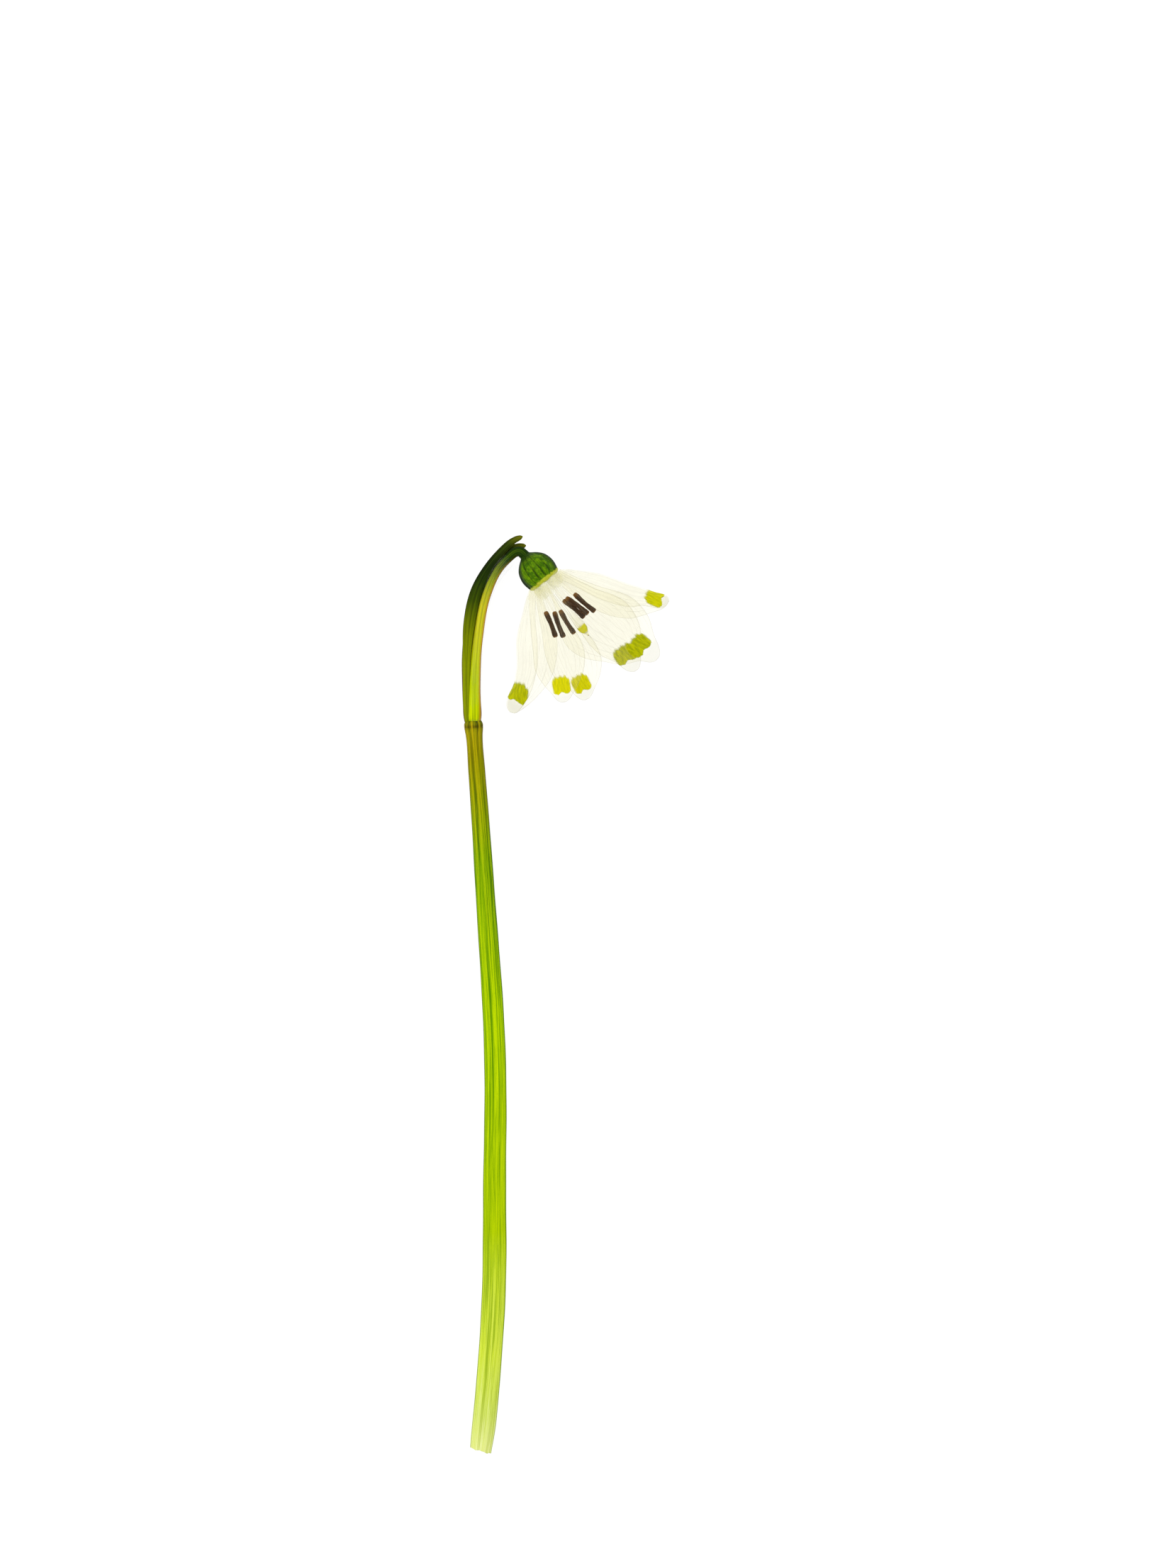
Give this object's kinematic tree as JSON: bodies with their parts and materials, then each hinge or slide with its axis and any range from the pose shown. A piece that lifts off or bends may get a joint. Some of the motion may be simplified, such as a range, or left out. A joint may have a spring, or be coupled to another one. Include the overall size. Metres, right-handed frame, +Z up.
{
  "type": "spring snowflake flower",
  "caption": "A cut spring snowflake lying on its side: a nodding white bell of green-spotted tepals, open to the stamens, under a forked spathe on a long green scape.",
  "frame": {"origin": "middle of the footprint at the height of the table it lies on", "axes": "+Y along the scape from its cut end to the flower, +X from the scape to the side the bell opens to, +Z up from the table"},
  "size_m": [0.0346, 0.1555, 0.0109],
  "materials": {
    "scape": "fresh green stem, fine lengthwise ribs, satin",
    "pedicel": "yellow-green stalk, satin",
    "bract": "dark olive leaf, satin",
    "membrane": "thin clear membrane",
    "ovary": "deep green, ribbed, satin",
    "tepal": "translucent white petal with fine veins and a green spot under the tip",
    "filament": "pale cream thread",
    "anther": "dark brown, granular",
    "style": "pale cream with a green-yellow band below the tip"
  },
  "bodies": {
    "root": {"scape": "scape", "pedicel": "pedicel", "spathe_bract_upper": "bract", "spathe_bract_lower": "bract", "spathe_membrane": "membrane", "ovary": "ovary", "tepal_outer_left": "tepal", "tepal_inner_right": "tepal", "tepal_inner_upper": "tepal", "tepal_outer_upper": "tepal", "tepal_outer_under": "tepal", "tepal_inner_under": "tepal", "style": "style", "filament_1": "filament", "filament_2": "filament", "filament_3": "filament", "filament_4": "filament", "filament_5": "filament", "filament_6": "filament", "anther_1": "anther", "anther_2": "anther", "anther_3": "anther", "anther_4": "anther", "anther_5": "anther", "anther_6": "anther"}
  },
  "joints": []
}
